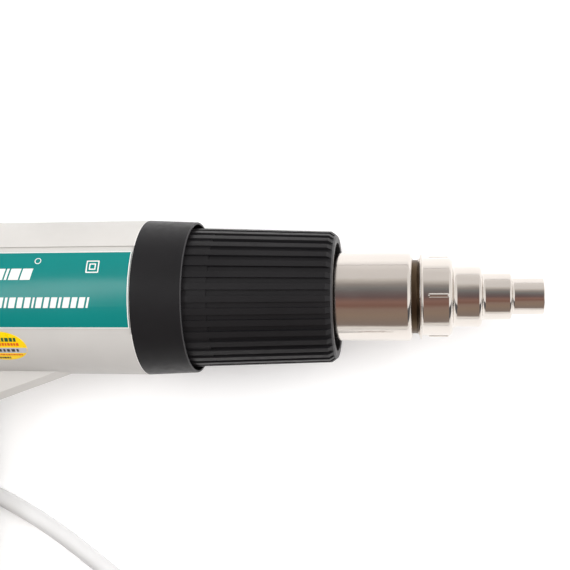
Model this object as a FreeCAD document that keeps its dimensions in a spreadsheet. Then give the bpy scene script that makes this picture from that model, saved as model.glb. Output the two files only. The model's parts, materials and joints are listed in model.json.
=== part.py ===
"""Pistol heat gun, lying on its side: two-shell housing, ribbed heat guard, steel outlet tube,
stepped reducer nozzle, motor and fan, heater, switch, heat dial, control board and mains cord.

Two frames are used. The tool's own frame has the barrel's axis along X, the outlet towards +X,
the grip towards -Y and the parting plane of the shells at Z = 0; X = 0 is the back face of the
front collar. The part's frame has the floor at Z = 0: "lie" rolls the tool about its barrel until
the collar, the rear cap and the end of the grip all touch the floor. The cord is drawn in the
part's frame."""

import FreeCAD, Part
import math
import os
import re

from FreeCAD import Placement, Rotation, Vector
import Sketcher

# ---------------------------------------------------------------- driving dimensions, mm, degrees
DIMENSIONS = {
    "body_radius": 32.5, "wall": 2.5, "body_back": -116, "cap_back": -128,
    "collar_length": 20.4, "collar_front_radius": 31.5, "collar_rim": 0.9,
    "guard_back_radius": 28.9, "guard_front_radius": 26.9, "guard_front": 78.9,
    "guard_taper_start": 23, "guard_chamfer_start": 76.4, "guard_chamfer_end": 78.4,
    "guard_rim_radius": 25.45, "guard_nose_radius": 24.9, "guard_opening": 22.2,
    "guard_wall": 2.6, "groove_start": 17, "groove_step": 29.6, "groove_depth": 0.75,
    "groove_full_depth": 1.25, "groove_front_depth": 1.5, "groove_width": 2.35,
    "groove_count": 36,
    "tube_radius": 18, "tube_wall": 0.8, "tube_back": -4, "tube_front": 109.4,
    "tube_shoulder": 2.0, "nozzle_wall": 0.8, "nozzle_back": 95, "nozzle_sleeve_radius": 14.9,
    "nozzle_clearance": 0.15, "flare_back": 111.3, "flange_back": 112.5, "flange_front": 113.1,
    "flange_radius": 17.4,
    "step_one_radius": 15.85, "step_two_radius": 12.15, "step_three_radius": 9.35,
    "step_four_radius": 7.3, "step_one_front": 125.3, "step_two_front": 136.7,
    "step_three_front": 148.35, "nozzle_front": 160.9, "bead_length": 8.8, "bead_radius": 1.0,
    "bead_height": 0.45, "bead_shift": 0.5, "bead_turn": -8.1, "bead_count": 4,
    "panel_half_angle": 33, "label_half_angle": 28.25, "label_turn": 12.75,
    "label_front": -0.5, "label_length": 96.3, "panel_margin": 2, "panel_depth": 0.6,
    "panel_corner": 3, "label_corner": 0.6, "label_thickness": 0.4, "sticker_x": -55.3,
    "sticker_length": 20.6, "sticker_width": 14.8, "sticker_turn": 31.6, "sticker_thickness": 0.15,
    "grip_front": -76, "grip_rake": 0.075, "grip_width": 39, "grip_thickness": 29,
    "grip_end_thickness": 37, "grip_flare_start": 95, "grip_end": 150, "grip_end_radius": 6,
    "grip_corner": 10, "grip_heel": 2, "wedge_front_x": -36.6, "wedge_front_y": -32.3,
    "wedge_back_x": -75.5, "wedge_back_y": -46.1, "wedge_thickness": 27.4, "wedge_bevel": 3.2,
    "wedge_side_wall": 3.7, "rib_height": 2, "rib_width": 2,
    "post_radius": 3.4, "screw_seat": 9, "screw_radius": 1.5, "screw_head_radius": 2.8,
    "screw_head_height": 2, "vent_pitch": 5.2, "vent_width": 3, "vent_reach": 23,
    "vent_bar_width": 3.2, "cap_spigot": 4, "cap_corner": 5, "mesh_pitch": 4.1,
    "mesh_hole_radius": 1.45,
    "motor_radius": 17, "motor_back": -104, "motor_front": -64, "can_wall": 1.2,
    "shaft_radius": 1.5, "running_gap": 0.05, "armature_radius": 13, "magnet_gap": 7,
    "bearing_radius": 4.5, "mount_back": -78.6, "mount_front": -67.2, "mount_ring": 2.5,
    "arm_width": 2.6, "fan_radius": 26,
    "fan_back": -58, "fan_front": -46, "fan_hub_radius": 5, "blade_count": 11,
    "blade_bend_radius": 16, "blade_thickness": 1.2, "fan_plate": 1.5,
    "duct_back": -60, "duct_cone_back": -46, "duct_cone_front": -24, "duct_front": 6,
    "duct_wall": 1.8, "lead_slot_back": -23, "lead_slot_front": -18.2, "lead_slot_half": 6,
    "mica_back": 6, "mica_thickness": 0.6, "heater_front": 92, "heater_radius": 12.2,
    "vane_thickness": 1, "coil_wire": 0.8, "coil_turns": 18, "coil_pitch": 4, "coil_start": 18,
    "switch_y": -72, "switch_length": 27, "switch_width": 14, "switch_back": -99,
    "switch_front": -76.6, "rocker_pivot_x": -87.2, "rocker_well": 4.8,
    "rocker_radius": 11.6, "rocker_width": 10.4, "rocker_pin_radius": 1.2,
    "rocker_pin_reach": 6.3, "rocker_crown": 12.6, "rocker_dip": 9.2, "rocker_sole": -2.5,
    "dial_x": -103.2, "dial_y": -42, "dial_radius": 14, "dial_width": 7, "dial_notches": 24,
    "dial_shaft_radius": 3, "dial_shaft_end": -9.2,
    "board_back": -114, "board_front": -84, "board_top": -95, "board_bottom": -128,
    "board_face": -6.4, "board_thickness": 1.6,
    "cord_radius": 3.75, "cord_x": -101, "cord_start": -129, "gland_length": 42,
    "gland_root_radius": 6.8, "gland_tip_radius": 4.7, "gland_flange": 2.5, "gland_rings": 7,
    "gland_ring_width": 1.6, "gland_ring_pitch": 4.6, "gland_ring_depth": 0.9, "coil_ring_radius": 44,
    "coil_ring_width": 22.8, "coil_ring_height": 15.2, "pin_radius": 2.4, "pin_length": 19,
    "pin_spacing": 19, "plug_radius": 17.5, "plug_length": 38, "plug_half_height": 13,
}

doc = FreeCAD.newDocument("heat_gun")
sheet = doc.addObject("Spreadsheet::Sheet", "dims")
for row, (alias, number) in enumerate(DIMENSIONS.items(), 1):
    sheet.set(f"A{row}", alias)
    sheet.set(f"B{row}", str(number))
    sheet.setAlias(f"B{row}", alias)
doc.recompute()

X_AXIS = Vector(1, 0, 0)
Y_AXIS = Vector(0, 1, 0)
Z_AXIS = Vector(0, 0, 1)
ORIGIN = Vector(0, 0, 0)
FAR = 400.0
pieces = []


# ---------------------------------------------------------------- small helpers
def formula(text):
    """The same expression with the sheet's name put before each alias."""
    return re.sub(r"[a-z_]{2,}", lambda word: "dims." + word.group(), str(text))


def value(text):
    """What an expression of aliases comes to."""
    return float(sheet.evalExpression(formula(text)))


def plane(body, role):
    """An origin plane or axis of a body."""
    return next(item for item in body.Origin.OriginFeatures if item.Role == role)


def draw(body, name, role, corners):
    """A closed sketch of straight lines; each corner is a pair of expressions."""
    sketch = body.newObject("Sketcher::SketchObject", name)
    sketch.AttachmentSupport = [(plane(body, role), "")]
    sketch.MapMode = "FlatFace"
    places = [Vector(value(across), value(up), 0) for across, up in corners]
    count = len(places)
    for i in range(count):
        sketch.addGeometry(Part.LineSegment(places[i], places[(i + 1) % count]), False)
    for i in range(count):
        sketch.addConstraint(Sketcher.Constraint("Coincident", i, 2, (i + 1) % count, 1))
    for i, (across, up) in enumerate(corners):
        for kind, text, start in (("DistanceX", across, places[i].x), ("DistanceY", up, places[i].y)):
            index = sketch.addConstraint(Sketcher.Constraint(kind, -1, 1, i, 1, start))
            sketch.setExpression(f"Constraints[{index}]", formula(text))
    doc.recompute()
    return sketch


def keep(piece, label):
    """Name a finished sub-part and remember it."""
    piece.Label = label
    pieces.append(piece)
    return piece


def turned(label, outline, role="X_Axis"):
    """A PartDesign body turned about the barrel's axis from (x, radius) corners."""
    body = doc.addObject("PartDesign::Body", label)
    profile = draw(body, label + "_outline", "XY_Plane", outline)
    turn = body.newObject("PartDesign::Revolution", label + "_turn")
    turn.Profile = profile
    turn.ReferenceAxis = (plane(body, role), [""])
    turn.Angle = 360
    doc.recompute()
    return keep(body, label)


def round_rings(body, rings):
    """Round the circular edges of a turned body, given as (x, edge radius, fillet radius)."""
    for number, (x, ring_radius, fillet_radius) in enumerate(rings):
        base = body.Tip
        middle, reach = value(x), value(ring_radius)
        names = []
        for i, edge in enumerate(base.Shape.Edges, 1):
            if not isinstance(edge.Curve, Part.Circle):
                continue
            if abs(edge.Curve.Center.x - middle) < 0.01 and abs(edge.Curve.Radius - reach) < 0.01:
                names.append(f"Edge{i}")
        fillet = body.newObject("PartDesign::Fillet", f"{body.Name}_round_{number}")
        fillet.Base = (base, names)
        fillet.setExpression("Radius", formula(fillet_radius))
        doc.recompute()


def padded(label, outline, start, height):
    """A PartDesign body raised from an outline in the XY plane, starting at a height."""
    body = doc.addObject("PartDesign::Body", label)
    sketch = draw(body, label + "_outline", "XY_Plane", outline)
    sketch.setExpression("AttachmentOffset.Base.z", formula(start))
    pad = body.newObject("PartDesign::Pad", label + "_pad")
    pad.Profile = sketch
    pad.setExpression("Length", formula(height))
    doc.recompute()
    return keep(body, label)


def solid(label, shape):
    """A sub-part whose shape is worked out with Part's own functions."""
    piece = doc.addObject("Part::Feature", label)
    piece.Shape = shape
    return keep(piece, label)


def block(x0, x1, y0, y1, z0, z1):
    """A box between two corners."""
    return Part.makeBox(x1 - x0, y1 - y0, z1 - z0, Vector(x0, y0, z0))


def rod(x0, x1, radius, y=0.0, z=0.0):
    """A round bar along X."""
    return Part.makeCylinder(radius, x1 - x0, Vector(x0, y, z), X_AXIS)


def post(x, y, z0, z1, radius):
    """A round bar along Z."""
    return Part.makeCylinder(radius, z1 - z0, Vector(x, y, z0), Z_AXIS)


def pipe(x0, x1, inner, outer):
    """A straight pipe on the barrel's axis."""
    return rod(x0, x1, outer).cut(rod(x0 - 1, x1 + 1, inner))


def rounded_outline(corners):
    """A closed wire through (point, corner radius) pairs, with tangent arcs at the corners."""
    count = len(corners)
    edges = []
    cuts = []
    for i, (point, radius) in enumerate(corners):
        before = (corners[i - 1][0] - point).normalize()
        after = (corners[(i + 1) % count][0] - point).normalize()
        half = before.getAngle(after) / 2
        reach = radius / math.tan(half)
        middle = point + (before + after).normalize() * (radius / math.sin(half) - radius)
        cuts.append((point + before * reach, middle, point + after * reach, radius))
    for i, (start, middle, end, radius) in enumerate(cuts):
        if radius > 0:
            edges.append(Part.Arc(start, middle, end).toShape())
        following = cuts[(i + 1) % count][0]
        if end.distanceToPoint(following) > 1e-6:
            edges.append(Part.LineSegment(end, following).toShape())
    return Part.Wire(edges)


def revolved(corners):
    """A solid turned about X from ((x, radius), corner radius) pairs."""
    wire = rounded_outline([(Vector(x, r, 0), bend) for x, r, bend in corners])
    return Part.Face(wire).revolve(ORIGIN, X_AXIS, 360)


def around(shape, count, first=0.0):
    """Copies of a shape turned evenly about X."""
    copies = []
    for i in range(count):
        copy = shape.copy()
        copy.rotate(ORIGIN, X_AXIS, first + 360.0 * i / count)
        copies.append(copy)
    return copies


def fused(shapes):
    """One solid out of several."""
    return shapes[0].multiFuse(shapes[1:]).removeSplitter()


# ---------------------------------------------------------------- grip and housing
def grip_flare(y):
    """How far the grip has flared: 0 until the flare starts, 1 at the end of the grip."""
    length = value("grip_end - grip_end_radius - grip_flare_start")
    return max(0.0, (-y - value("grip_flare_start")) / length) ** 2


def grip_half_thickness(y):
    """Half the grip's thickness: even in the middle, flaring towards the end."""
    middle = value("grip_thickness") / 2
    return middle + (value("grip_end_thickness") / 2 - middle) * grip_flare(y)


def grip_section(y, inset):
    """A rounded rectangle across the grip."""
    lean = value("grip_rake") * (y + 60)
    front = value("grip_front") + lean - inset
    back = value("grip_front - grip_width") + lean - value("grip_heel") * grip_flare(y) + inset
    half = grip_half_thickness(max(y, -value("grip_end - grip_end_radius"))) - inset
    corner = max(1.0, value("grip_corner") - inset)
    places = ((front, half), (back, half), (back, -half), (front, -half))
    return rounded_outline([(Vector(x, y, z), corner) for x, z in places])


def grip_solid(inset):
    """The grip as a loft; only the skin (inset 0) gets the rounded end."""
    end = value("grip_end - grip_end_radius")
    stations = [-20, -60, -value("grip_flare_start"), -112, -128, -end]
    shape = Part.makeLoft([grip_section(y, inset) for y in stations], True, False)
    if inset > 0:
        return shape
    radius = value("grip_end_radius")
    rounding = []
    for step in range(5):
        angle = math.radians(20.0 * step)
        rounding.append(grip_section(-end - radius * math.sin(angle), radius * (1 - math.cos(angle))))
    return shape.fuse(Part.makeLoft(rounding, True, False))


def wedge_solid(inset, half):
    """The web that runs from the grip up to the front of the body."""
    front = Vector(value("wedge_front_x"), value("wedge_front_y"), 0)
    back = Vector(value("wedge_back_x"), value("wedge_back_y"), 0)
    along = (front - back).normalize()
    inward = Vector(-along.y, along.x, 0) * inset
    top = value("wedge_front_y") + 13
    upper = back + along * ((top - back.y) / along.y)
    low = back - along * 14
    deep = Vector(low.x - 8, low.y, 0)
    corners = [upper + inward, low + inward, deep, Vector(deep.x, top, 0)]
    face = Part.Face(Part.makePolygon([c - Z_AXIS * half for c in corners + corners[:1]]))
    return face.extrude(Z_AXIS * 2 * half)


def beveled_wedge():
    """The web with its front edges cut back on both sides."""
    half = value("wedge_thickness") / 2
    shape = wedge_solid(0, half)
    slope = value("wedge_front_y - wedge_back_y") / value("wedge_front_x - wedge_back_x")
    edges = []
    for edge in shape.Edges:
        start, end = edge.Vertexes[0].Point, edge.Vertexes[-1].Point
        run = end - start
        if abs(run.z) < 1e-6 and abs(run.x) > 1 and abs(run.y / run.x - slope) < 0.01:
            edges.append(edge)
    return shape.makeChamfer(value("wedge_bevel"), edges)


def side_window(x0, x1, half_angle, inner, outer, side, corner):
    """Part of a pipe wall seen through a rounded rectangle that faces a label's middle."""
    width = 2 * value("body_radius") * math.sin(math.radians(half_angle))
    half = width / 2
    places = ((x0, half), (x0, -half), (x1, -half), (x1, half))
    wire = rounded_outline([(Vector(x, y, 0), corner) for x, y in places])
    prism = Part.Face(wire).extrude(Z_AXIS * (outer + 5))
    prism.rotate(ORIGIN, X_AXIS, -value("label_turn"))
    if side < 0:
        prism = prism.mirror(ORIGIN, Z_AXIS)
    return pipe(x0 - 1, x1 + 1, inner, outer).common(prism)


POSTS = ((-98, 25.5), (-14, 25.5), (-14, -25.5), (-92, -25.5), (-97, -90.5), (-88, -137.5))


def housing():
    """Both shells as one hollow shape, before it is parted."""
    radius, wall = value("body_radius"), value("wall")
    back = value("body_back")
    skin = fused([rod(back, 0, radius), grip_solid(0), beveled_wedge()])
    hollow = fused([rod(back - 1, 1, radius - wall), grip_solid(wall),
                    wedge_solid(wall, value("wedge_thickness / 2 - wedge_side_wall"))])
    posts = [post(x, y, -FAR, FAR, value("post_radius")) for x, y in POSTS]
    shell = skin.cut(hollow)
    rib = value("rib_width")
    for x in (-81, -66.8):
        shell = shell.fuse(pipe(x, x + rib, radius - wall - value("rib_height"), radius - wall + 0.5))
    shell = shell.fuse([one.common(skin) for one in posts])
    shell = shell.cut(pipe(back - 2, back + value("cap_spigot"), radius - wall - 5, radius - wall))
    panel_back = value("label_front - label_length - panel_margin")
    for side in (1, -1):
        window = side_window(panel_back, value("panel_corner + 1"), value("panel_half_angle"),
                             radius - value("panel_depth"), radius + 1, side, value("panel_corner"))
        shell = shell.cut(window)
    return shell


def cut_openings(shell):
    """Windows of the rocker and the dial, the cord's hole and the screw holes."""
    y = value("switch_y")
    length, width = value("switch_length") / 2, value("switch_width") / 2
    shell = shell.cut(block(-92, -60, y - length, y + length, -width, width))
    dial_x, dial_y = value("dial_x"), value("dial_y")
    dial = value("dial_width") / 2 + 0.6
    shell = shell.cut(post(dial_x, dial_y, -dial, dial, value("dial_radius") + 0.8))
    hole = Part.makeCylinder(value("gland_root_radius"), 30, Vector(value("cord_x"), -140, 0), -Y_AXIS)
    shell = shell.cut(hole)
    seat = value("screw_seat")
    for x, y in POSTS:
        shell = shell.cut(post(x, y, -FAR, seat, value("screw_radius")))
        shell = shell.cut(post(x, y, -FAR, -seat, value("screw_head_radius") + 0.3))
    return shell


def build_housing():
    shell = cut_openings(housing())
    solid("right_housing", shell.common(block(-FAR, FAR, -FAR, FAR, 0, FAR)))
    solid("left_housing", shell.common(block(-FAR, FAR, -FAR, FAR, -FAR, 0)))


def build_rear_cap():
    """Slotted air intake that closes the back of the shells."""
    back, front = value("cap_back"), value("body_back")
    radius, wall = value("body_radius"), value("wall")
    spigot, spigot_end = radius - wall - 0.05, front + value("cap_spigot")
    bore = radius - wall - 2.4
    cap = revolved([
        (back, 0, 0), (back, radius, value("cap_corner")), (front, radius, 0), (front, spigot, 0),
        (spigot_end, spigot, 0), (spigot_end, bore, 0), (back + wall, bore, 2.5), (back + wall, 0, 0)])
    reach, half = value("vent_reach"), value("vent_width") / 2
    for i in range(-4, 5):
        y = value("vent_pitch") * i
        half_length = math.sqrt(reach ** 2 - y ** 2)
        cap = cap.cut(block(back - 1, back + wall + 1, y - half, y + half, -half_length, half_length))
    bar = value("vent_bar_width") / 2
    cap = cap.fuse(block(back, back + wall, -reach - 3, reach + 3, -bar, bar))
    solid("rear_cap", cap.removeSplitter())
    screen = rod(front + 2.2, front + 3.2, bore - 0.1)
    holes = []
    for ring in range(1, 7):
        hole = rod(front + 1, front + 5, value("mesh_hole_radius"), y=value("mesh_pitch") * ring)
        holes += around(hole, 6 * ring)
    solid("dust_screen", screen.cut(holes))


# ---------------------------------------------------------------- collar, guard, tube, nozzle
def build_front():
    inner = "body_radius - wall"
    collar = turned("front_collar", [
        ("0", inner), ("0", "body_radius"), ("collar_length", "collar_front_radius"),
        ("collar_length", "collar_front_radius - collar_rim"), ("6.5", "collar_front_radius - collar_rim"),
        ("6.5", inner)])
    round_rings(collar, [("collar_length", "collar_front_radius", "0.4")])
    guard = turned("heat_shroud", [
        ("0.3", "guard_back_radius - guard_wall"), ("0.3", "body_radius - wall - 0.1"),
        ("5", "body_radius - wall - 0.1"), ("5", "guard_back_radius"),
        ("guard_taper_start", "guard_back_radius"), ("guard_chamfer_start", "guard_front_radius"),
        ("guard_chamfer_end", "guard_rim_radius"), ("guard_front", "guard_nose_radius"),
        ("guard_front", "guard_opening"),
        ("guard_front - 2.2", "guard_opening"), ("guard_front - 2.8", "guard_front_radius - guard_wall")])
    groove = draw(guard, "groove_outline", "XY_Plane", [
        ("groove_start", "guard_back_radius - groove_depth"),
        ("groove_step", "guard_back_radius - groove_depth - 0.15"),
        ("groove_step", "guard_back_radius - groove_full_depth - 0.15"),
        ("guard_front + 1", "guard_front_radius - groove_front_depth"),
        ("guard_front + 1", "guard_back_radius + 1"), ("groove_start", "guard_back_radius + 1")])
    before = guard.Shape.Volume
    pocket = guard.newObject("PartDesign::Pocket", "groove")
    pocket.Profile = groove
    pocket.setExpression("Length", formula("groove_width"))
    pocket.Midplane = 1
    doc.recompute()
    grooves = guard.newObject("PartDesign::PolarPattern", "grooves")
    grooves.Originals = [pocket]
    grooves.Axis = (plane(guard, "X_Axis"), [""])
    grooves.Angle = 360
    grooves.setExpression("Occurrences", formula("groove_count"))
    guard.Tip = grooves
    doc.recompute()
    print("guard volume", round(before), "->", round(guard.Shape.Volume))
    tube = turned("barrel_tube", [
        ("tube_back", "tube_radius - tube_wall"), ("tube_back", "tube_radius"),
        ("tube_front", "tube_radius"), ("tube_front", "nozzle_sleeve_radius + nozzle_clearance"),
        ("tube_front - tube_wall", "nozzle_sleeve_radius + nozzle_clearance"),
        ("tube_front - tube_wall", "tube_radius - tube_wall")])
    round_rings(tube, [("tube_front", "tube_radius", "tube_shoulder")])


def build_nozzle():
    """Stepped reducer: a thin-walled turning with rounded steps and four raised beads."""
    wall = value("nozzle_wall")
    sleeve, flange = value("nozzle_sleeve_radius"), value("flange_radius")
    radii = [value(f"step_{name}_radius") for name in ("one", "two", "three", "four")]
    steps = [value("step_one_front"), value("step_two_front"), value("step_three_front")]
    flare, front = value("flare_back"), value("flange_front")
    outer = [(value("nozzle_back"), sleeve, 0), (flare, sleeve, 0.3),
             (value("flange_back"), flange, 0.2), (front, flange, 0.2), (front, radii[0], 0.8)]
    inner = [(value("nozzle_back"), sleeve - wall, 0), (front, sleeve - wall, 0.2),
             (front, radii[0] - wall, 0.2)]
    for i, step in enumerate(steps):
        bend = (radii[i] - radii[i + 1]) / 2 - 0.05
        outer += [(step, radii[i], bend), (step, radii[i + 1], bend)]
        inner += [(step - wall, radii[i] - wall, max(0.2, bend - wall)),
                  (step - wall, radii[i + 1] - wall, bend)]
    tip = value("nozzle_front")
    outer += [(tip, radii[3], 0.35)]
    inner += [(tip, radii[3] - wall, 0)]
    shape = revolved(outer + inner[::-1])
    length, radius = value("bead_length"), value("bead_radius")
    depth = radii[0] - radius + value("bead_height")
    start = (front + steps[0] - length) / 2 + value("bead_shift")
    run = length - 2 * radius
    bead = rod(start + radius, start + radius + run, radius, z=depth)
    bead = bead.fuse([Part.makeSphere(radius, Vector(start + radius, 0, depth)),
                      Part.makeSphere(radius, Vector(start + radius + run, 0, depth))])
    bead = bead.cut(rod(0, FAR, radii[0] - wall / 2))
    beads = around(bead, int(value("bead_count")), value("bead_turn"))
    solid("reducer_nozzle", fused([shape] + beads))


# ---------------------------------------------------------------- motor, fan, duct, heater
def build_motor():
    back, front = value("motor_back"), value("motor_front")
    radius, wall = value("motor_radius"), value("can_wall")
    turned("motor_can", [
        ("motor_back", "motor_radius - can_wall"), ("motor_back", "motor_radius"),
        ("motor_front", "motor_radius"), ("motor_front", "bearing_radius"),
        ("motor_front - can_wall", "bearing_radius"),
        ("motor_front - can_wall", "motor_radius - can_wall")])
    magnet = pipe(back + 8, front - 8, value("armature_radius") + 0.6, radius - wall)
    gap = value("magnet_gap")
    upper, lower = block(back, front, -FAR, FAR, gap, FAR), block(back, front, -FAR, FAR, -FAR, -gap)
    solid("motor_magnets", Part.makeCompound([magnet.common(upper), magnet.common(lower)]))
    bore = value("shaft_radius + running_gap")
    cap = rod(back - 4, back, radius - 0.1).cut(rod(back - 5, back + 1, bore))
    tabs = [block(back - 7, back - 4, y, y + 1, -2.5, 2.5) for y in (8, -9)]
    solid("brush_cap", cap.fuse(tabs))
    turned("front_bearing", [
        ("motor_front - 2.5", "shaft_radius + running_gap"), ("motor_front - 2.5", "bearing_radius"),
        ("motor_front + 1.5", "bearing_radius"), ("motor_front + 1.5", "shaft_radius + running_gap")])
    turned("motor_shaft", [
        ("motor_back - 7", "0"), ("motor_back - 7", "shaft_radius"), ("fan_front", "shaft_radius"),
        ("fan_front", "0")])
    core = pipe(back + 8, front - 10, value("shaft_radius"), value("armature_radius"))
    slots = around(block(back + 7, front - 9, -1.0, 1.0, 9.5, 20), 8)
    core = core.cut(slots)
    commutator = pipe(back + 1, back + 7, value("shaft_radius"), value("bearing_radius"))
    solid("armature", Part.makeCompound([core, commutator]))
    ring_back, ring_front = value("mount_back"), value("mount_front")
    ring = pipe(ring_back, ring_front, radius, radius + value("mount_ring"))
    half = value("arm_width") / 2
    arm = block(ring_back, ring_front, -half, half, radius + 1, value("body_radius - wall") - 0.1)
    solid("motor_mount", fused([ring] + around(arm, 4, 45)))


def build_fan():
    """Back plate, hub and backward-curved blades."""
    back, front = value("fan_back"), value("fan_front")
    hub, radius = value("fan_hub_radius"), value("fan_radius")
    bend, thickness = value("blade_bend_radius"), value("blade_thickness")
    plate_front = front - 1
    plate = rod(plate_front - value("fan_plate"), plate_front, radius)
    core = rod(back + 2, front, hub)
    arc = rod(back, plate_front - 0.5, bend + thickness / 2, z=bend - 1)
    arc = arc.cut(rod(back - 1, front, bend - thickness / 2, z=bend - 1))
    band = pipe(back - 2, front + 2, hub - 0.5, radius - 0.4)
    blade = arc.common(band).common(block(back - 1, front, 0, FAR, -5, FAR))
    wheel = fused([plate, core] + around(blade, int(value("blade_count"))))
    solid("fan_impeller", wheel.cut(rod(back - 1, front + 1, value("shaft_radius"))))


def build_duct():
    wide = "body_radius - wall - 0.1"
    duct = turned("air_duct", [
        ("duct_back", wide + " - duct_wall"), ("duct_back", wide), ("duct_cone_back", wide),
        ("duct_cone_front", "tube_radius + duct_wall"), ("duct_front", "tube_radius + duct_wall"),
        ("duct_front", "tube_radius"), ("tube_back", "tube_radius"), ("tube_back", "tube_radius - 1.5"),
        ("duct_cone_front - 1", "tube_radius - 1.5"), ("duct_cone_back", wide + " - duct_wall")])
    slot = draw(duct, "lead_slot_outline", "XZ_Plane", [
        ("lead_slot_back", "-lead_slot_half"), ("lead_slot_front", "-lead_slot_half"),
        ("lead_slot_front", "lead_slot_half"), ("lead_slot_back", "lead_slot_half")])
    before = duct.Shape.Volume
    pocket = duct.newObject("PartDesign::Pocket", "lead_slot")
    pocket.Profile = slot
    pocket.setExpression("Length", formula("tube_radius + duct_wall + 1"))
    pocket.Reversed = True
    doc.recompute()
    print("duct volume", round(before), "->", round(duct.Shape.Volume))


def build_heater():
    front = value("heater_front")
    outside = "tube_radius - tube_wall - 0.1"
    turned("mica_sleeve", [
        ("mica_back", outside + " - mica_thickness"), ("mica_back", outside),
        ("heater_front + 2", outside), ("heater_front + 2", outside + " - mica_thickness")])
    disc = rod(-2, 3, value("tube_radius - tube_wall") - 0.1)
    vents = around(rod(-3, 4, 2.6, y=11.5), 8) + around(rod(-3, 4, 1.6, y=5.5), 4, 45)
    solid("element_base", disc.cut(vents))
    reach, half = value("heater_radius"), value("vane_thickness") / 2
    flat_vane = block(3, front, -reach, reach, -half, half)
    upright_vane = block(3, front, -half, half, -reach, reach)
    solid("heater_former", fused([flat_vane, upright_vane]))
    wire = value("coil_wire")
    turns = []
    for i in range(int(value("coil_turns"))):
        centre = Vector(value("coil_start") + value("coil_pitch") * i, 0, 0)
        turns.append(Part.makeTorus(reach + wire + 0.02, wire, centre, X_AXIS))
    solid("heater_coils", Part.makeCompound(turns))
    cutout = rod(3, 13, 2.2, y=5.5, z=5.5).fuse(rod(13, 16, 0.5, y=5.5, z=5.5))
    solid("thermal_cutout", cutout)


# ---------------------------------------------------------------- switch, dial, board, wiring
def build_switch():
    """Switch body with a well in its front, and the rocker that tilts in it."""
    y, pivot = value("switch_y"), value("rocker_pivot_x")
    back, front = value("switch_back"), value("switch_front")
    half, width = value("switch_length") / 2 - 0.1, value("switch_width") / 2 - 0.1
    radius, rocker_half = value("rocker_radius"), value("rocker_width") / 2
    pin = value("rocker_pin_radius")
    frame = block(back, front, y - half, y + half, -width, width)
    floor = pivot - value("rocker_well")
    well_half, well_width = radius + 0.3, rocker_half + 0.25
    frame = frame.cut(block(floor, 0, y - well_half, y + well_half, -well_width, well_width))
    frame = frame.cut(post(pivot, y, -width + 0.5, width - 0.5, pin + value("running_gap")))
    tabs = [block(back - 5, back, y + place - 0.4, y + place + 0.4, -2.4, 2.4) for place in (-8, 0, 8)]
    solid("switch_body", fused([frame] + tabs))
    disc = post(pivot, y, -rocker_half, rocker_half, radius)
    sole, crown, dip = (pivot + value(name) for name in ("rocker_sole", "rocker_crown", "rocker_dip"))
    ends = radius + 2.4
    places = [(sole, y - ends), (sole, y + ends), (crown, y + ends), (dip, y), (crown, y - ends)]
    profile = Part.Face(Part.makePolygon([Vector(*place, -rocker_half) for place in places + places[:1]]))
    rocker = disc.common(profile.extrude(Z_AXIS * 2 * rocker_half))
    reach = value("rocker_pin_reach")
    solid("switch_rocker", rocker.fuse(post(pivot, y, -reach, reach, pin)).removeSplitter())


def build_dial():
    """Notched thumb wheel, its shaft and the potentiometer that it turns."""
    x, y, half = value("dial_x"), value("dial_y"), value("dial_width") / 2
    radius = value("dial_radius")
    shaft, shaft_end = value("dial_shaft_radius"), value("dial_shaft_end")
    wheel = post(x, y, -half, half, radius)
    notches = []
    for i in range(int(value("dial_notches"))):
        angle = 2 * math.pi * i / value("dial_notches")
        across, along = (radius + 0.5) * math.cos(angle), (radius + 0.5) * math.sin(angle)
        notches.append(post(x + across, y + along, -half, half, 1.0))
    solid("heat_dial", wheel.cut(notches).cut(post(x, y, -half, half, shaft)))
    solid("dial_shaft", post(x, y, shaft_end, half, shaft))
    pot = post(x, y, shaft_end - 0.6, -half - 1, shaft + 2.2)
    pot = pot.cut(post(x, y, shaft_end - 0.1, 0, shaft + value("running_gap")))
    legs = [block(x + 4, x + 9, y - 3.5 + 3 * i, y - 2.5 + 3 * i, -8.5, -7.9) for i in range(3)]
    solid("potentiometer", fused([pot] + legs))


def build_board():
    x0, x1 = value("board_back"), value("board_front")
    y0, y1 = value("board_bottom"), value("board_top")
    face = value("board_face")
    padded("circuit_board", [("board_back", "board_bottom"), ("board_front", "board_bottom"),
                             ("board_front", "board_top"), ("board_back", "board_top")],
           "board_face - board_thickness", "board_thickness")
    sink = [block(x0 + 1, x0 + 2.5, y1 - 22, y1 - 3, face, face + 12)]
    for i in range(5):
        y = y1 - 22 + 4.5 * i
        sink.append(block(x0 + 2.5, x0 + 5.5, y, y + 1, face + 3, face + 12))
    solid("heat_sink", fused(sink))
    triac = block(x0 + 8, x0 + 13, y0 + 3, y0 + 13, face, face + 9)
    capacitor = post(x0 + 12, y1 - 9, face, face + 11, 4.0)
    film_capacitor = block(x1 - 10, x1 - 2, y1 - 14, y1 - 3, face, face + 7)
    small_capacitor = post(x1 - 6, y1 - 19, face, face + 8, 2.6)
    resistors = [rod(x0 + 11, x0 + 18, 1.2, y=y1 - 16 - 3 * i, z=face + 1.2) for i in range(3)]
    solid("board_parts", Part.makeCompound([triac, capacitor, film_capacitor, small_capacitor] + resistors))
    terminal = block(x1 - 14, x1 - 3, y0 + 1, y0 + 9, face, face + 9)
    for i in range(2):
        terminal = terminal.cut(post(x1 - 11.2 + 5.4 * i, y0 + 5, face + 4, face + 10, 1.8))
    solid("terminal_block", terminal)


def swept(route, radius):
    """A round cord or wire along a route, and the smallest radius that its centre line has."""
    path, radii = bent_path(route)
    section = Part.Wire([Part.makeCircle(radius, route[0], route[1] - route[0])])
    shape = path.makePipeShell([section], True, False)
    wanted = math.pi * radius ** 2 * path.Length
    print(f"swept length {path.Length:.1f} volume {shape.Volume / wanted:.4f} of section x length,",
          "radii", [round(bend, 1) for bend in radii])
    return shape


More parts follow.
